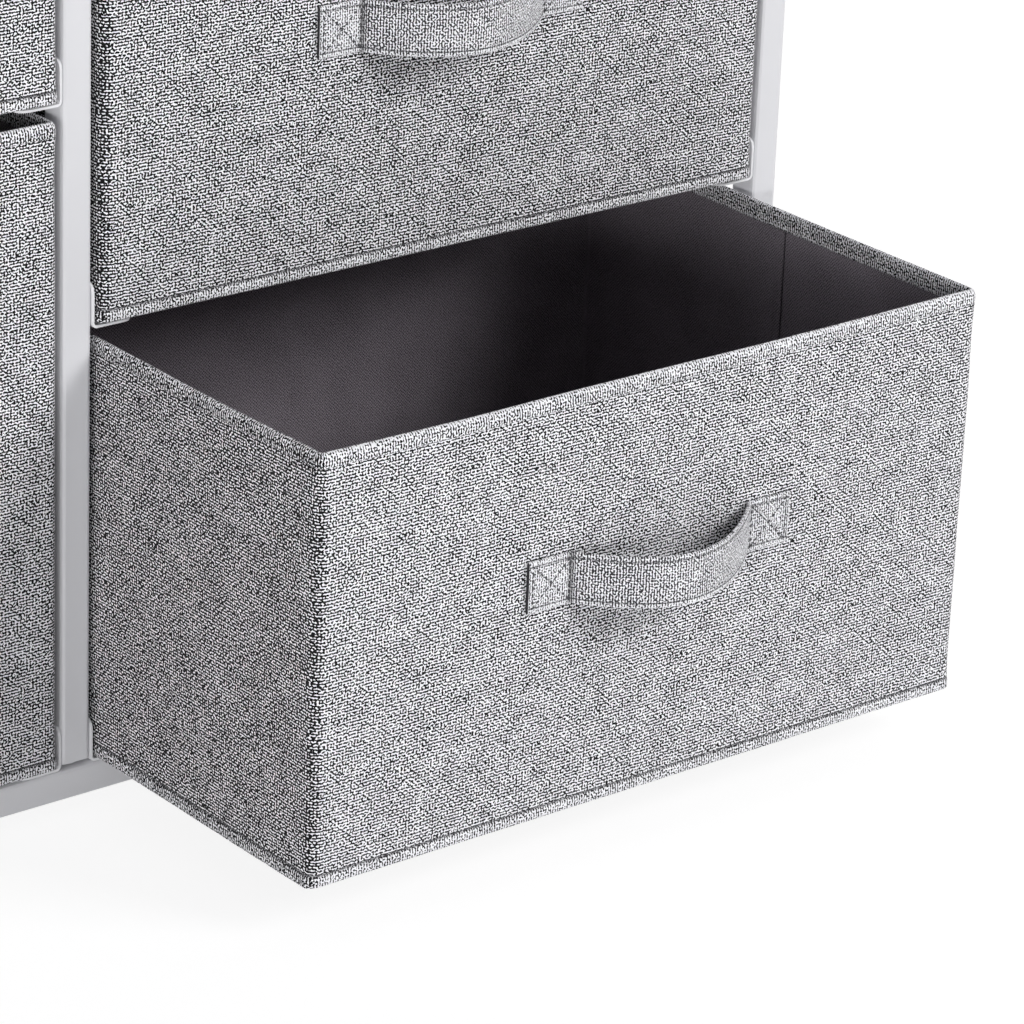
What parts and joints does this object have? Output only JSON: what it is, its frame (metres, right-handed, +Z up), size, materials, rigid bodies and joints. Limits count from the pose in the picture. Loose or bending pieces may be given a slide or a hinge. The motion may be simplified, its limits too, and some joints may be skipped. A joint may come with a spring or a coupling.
{
  "type": "fabric drawer storage unit",
  "caption": "White metal tube storage frame with a flat top board and pull-out grey fabric drawers with strap handles, deep ones on the left and shallow ones on the right",
  "frame": {"origin": "centre of the bounding box, at floor level, with the lower right drawer pulled out as at rest", "axes": "+Z up, drawers open towards -Y, +X to the right when looking at the fronts"},
  "size_m": [0.8054, 0.4894, 0.6653],
  "materials": {
    "powder_coat": "satin white powder coat",
    "top_board": "smooth white laminate",
    "foot_plastic": "matte",
    "zinc_bolt": "zinc plated",
    "fabric": "heathered grey woven cloth",
    "lining": "charcoal non-woven lining",
    "base_board": "fibre board wrapped in charcoal non-woven"
  },
  "bodies": {
    "frame": {"left_front_post": "powder_coat", "left_rear_post": "powder_coat", "right_front_post": "powder_coat", "right_rear_post": "powder_coat", "middle_front_post": "powder_coat", "middle_rear_post": "powder_coat", "bottom_front_rail": "powder_coat", "bottom_rear_rail": "powder_coat", "top_front_rail": "powder_coat", "top_rear_rail": "powder_coat", "left_bottom_side_rail": "powder_coat", "left_top_side_rail": "powder_coat", "middle_bottom_side_rail": "powder_coat", "middle_top_side_rail": "powder_coat", "right_bottom_side_rail": "powder_coat", "right_top_side_rail": "powder_coat", "left_front_bottom_bolt": "zinc_bolt", "left_front_top_bolt": "zinc_bolt", "left_rear_bottom_bolt": "zinc_bolt", "left_rear_top_bolt": "zinc_bolt", "right_front_bottom_bolt": "zinc_bolt", "right_front_top_bolt": "zinc_bolt", "right_rear_bottom_bolt": "zinc_bolt", "right_rear_top_bolt": "zinc_bolt", "left_front_foot": "foot_plastic", "left_rear_foot": "foot_plastic", "right_front_foot": "foot_plastic", "right_rear_foot": "foot_plastic", "left_lower_guide_inner": "powder_coat", "left_lower_guide_outer": "powder_coat", "left_upper_guide_inner": "powder_coat", "left_upper_guide_outer": "powder_coat", "right_lower_guide_inner": "powder_coat", "right_lower_guide_outer": "powder_coat", "right_middle_guide_inner": "powder_coat", "right_middle_guide_outer": "powder_coat", "right_upper_guide_inner": "powder_coat", "right_upper_guide_outer": "powder_coat", "top_board": "top_board"},
    "left_lower_drawer": {"left_lower_drawer_shell": "fabric", "left_lower_drawer_lining": "lining", "left_lower_drawer_base_board": "base_board", "left_lower_drawer_handle": "fabric"},
    "left_upper_drawer": {"left_upper_drawer_shell": "fabric", "left_upper_drawer_lining": "lining", "left_upper_drawer_base_board": "base_board", "left_upper_drawer_handle": "fabric"},
    "right_lower_drawer": {"right_lower_drawer_shell": "fabric", "right_lower_drawer_lining": "lining", "right_lower_drawer_base_board": "base_board", "right_lower_drawer_handle": "fabric"},
    "right_middle_drawer": {"right_middle_drawer_shell": "fabric", "right_middle_drawer_lining": "lining", "right_middle_drawer_base_board": "base_board", "right_middle_drawer_handle": "fabric"},
    "right_upper_drawer": {"right_upper_drawer_shell": "fabric", "right_upper_drawer_lining": "lining", "right_upper_drawer_base_board": "base_board", "right_upper_drawer_handle": "fabric"}
  },
  "joints": [
    {"name": "left_lower_drawer_slide", "type": "slide", "parent": "frame", "child": "left_lower_drawer", "axis": [0, -1, 0], "range_m": [0, 0.21]},
    {"name": "left_upper_drawer_slide", "type": "slide", "parent": "frame", "child": "left_upper_drawer", "axis": [0, -1, 0], "range_m": [0, 0.21]},
    {"name": "right_lower_drawer_slide", "type": "slide", "parent": "frame", "child": "right_lower_drawer", "axis": [0, -1, 0], "range_m": [-0.158, 0.052]},
    {"name": "right_middle_drawer_slide", "type": "slide", "parent": "frame", "child": "right_middle_drawer", "axis": [0, -1, 0], "range_m": [0, 0.21]},
    {"name": "right_upper_drawer_slide", "type": "slide", "parent": "frame", "child": "right_upper_drawer", "axis": [0, -1, 0], "range_m": [0, 0.21]}
  ]
}
